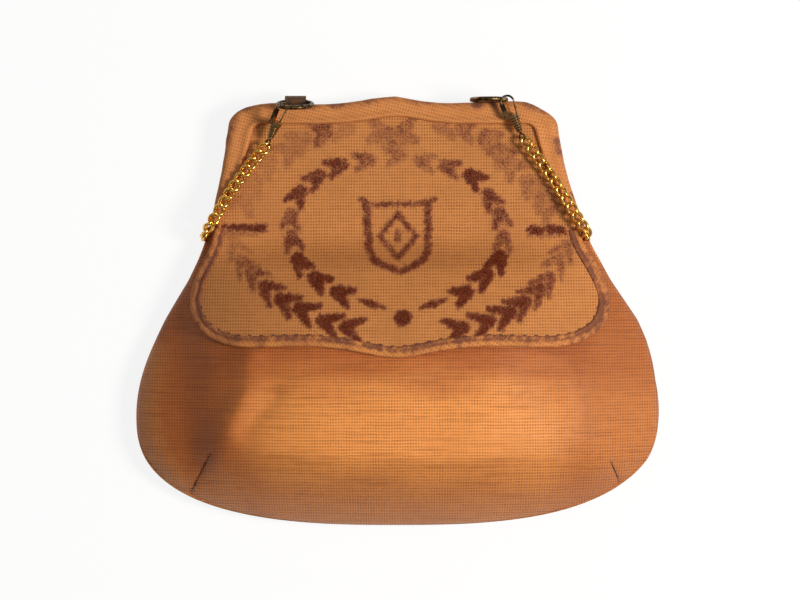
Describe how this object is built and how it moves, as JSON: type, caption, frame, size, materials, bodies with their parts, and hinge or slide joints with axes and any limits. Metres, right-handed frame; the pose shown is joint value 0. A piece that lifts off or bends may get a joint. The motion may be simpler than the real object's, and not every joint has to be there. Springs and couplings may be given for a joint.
{
  "type": "handbag",
  "caption": "Framed evening purse of copper brown cloth with a laurel wreath flap, ring tabs, snap clips and a gilt chain handle.",
  "frame": {"origin": "on the surface the bag lies on, under the middle of its box", "axes": "+X across the bag to its right seen from the front, +Y from its base to its frame, +Z out of its front face"},
  "size_m": [0.26, 0.2147, 0.0545],
  "materials": {
    "pouch_cloth": "woven slubbed cloth, satin sheen",
    "lining_satin": "smooth lining cloth",
    "frame_steel": "brassed steel strip",
    "band_cloth": "woven cloth cut on the bias, padded",
    "board": "stiffening board",
    "antique_brass": "aged brass, polished on the high spots",
    "flap_cloth": "woven ground cloth",
    "binding_cloth": "rolled cloth binding",
    "velvet_pile": "worn velvet pile",
    "tab_leather": "dark brown strap",
    "chain_gilt": "bright gilt"
  },
  "bodies": {
    "bag": {"pouch_front": "pouch_cloth", "pouch_back": "pouch_cloth", "lining": "lining_satin", "back_frame": "frame_steel", "back_frame_cover": "band_cloth", "back_board": "board", "left_hinge_rivet": "antique_brass", "right_hinge_rivet": "antique_brass", "catch_socket": "antique_brass", "chain_back": "chain_gilt"},
    "front_half": {"front_frame": "frame_steel", "front_frame_cover": "band_cloth", "front_board": "board", "flap": "flap_cloth", "flap_binding": "binding_cloth", "flap_wreath": "velvet_pile", "catch_stud": "antique_brass", "left_ring_tab": "tab_leather", "right_ring_tab": "tab_leather", "left_clip_body": "antique_brass", "right_clip_body": "antique_brass", "left_clip_pin": "antique_brass", "right_clip_pin": "antique_brass", "chain_left": "chain_gilt", "chain_right": "chain_gilt"},
    "left_ring": {"left_ring": "antique_brass"},
    "right_ring": {"right_ring": "antique_brass"},
    "left_gate": {"left_clip_gate": "antique_brass"},
    "right_gate": {"right_clip_gate": "antique_brass"},
    "left_eye": {"left_clip_eye": "antique_brass"},
    "right_eye": {"right_clip_eye": "antique_brass"}
  },
  "joints": [
    {"name": "frame_hinge", "type": "hinge", "parent": "bag", "child": "front_half", "pos_m": [0, 0.037, 0.0112], "axis": [1, 0, 0], "range_deg": [0, 60], "deforming": ["flap", "flap_binding", "flap_wreath", "chain_left", "chain_right"]},
    {"name": "left_ring_swing", "type": "hinge", "parent": "front_half", "child": "left_ring", "pos_m": [-0.05025, 0.1042, 0.0143], "axis": [1, 0, 0], "range_deg": [0, 2.5]},
    {"name": "right_ring_swing", "type": "hinge", "parent": "front_half", "child": "right_ring", "pos_m": [0.04625, 0.1047, 0.0143], "axis": [1, 0, 0], "range_deg": [0, 10]},
    {"name": "left_gate_hinge", "type": "hinge", "parent": "front_half", "child": "left_gate", "pos_m": [-0.05814, 0.09282, 0.02325], "axis": [0.6242, -0.4758, 0.6197], "range_deg": [0, 12], "stiffness_Nm_per_rad": 0.0005},
    {"name": "right_gate_hinge", "type": "hinge", "parent": "front_half", "child": "right_gate", "pos_m": [0.06037, 0.09722, 0.02146], "axis": [0.0216, -0.0494, 0.9985], "range_deg": [0, 12], "stiffness_Nm_per_rad": 0.0005},
    {"name": "left_swivel", "type": "hinge", "parent": "front_half", "child": "left_eye", "pos_m": [-0.06209, 0.08682, 0.02263], "axis": [-0.3624, -0.879, -0.3099], "range_deg": [-20, 20]},
    {"name": "right_swivel", "type": "hinge", "parent": "front_half", "child": "right_eye", "pos_m": [0.06121, 0.09007, 0.02109], "axis": [0.4008, -0.9146, -0.0539], "range_deg": [-20, 20]}
  ]
}
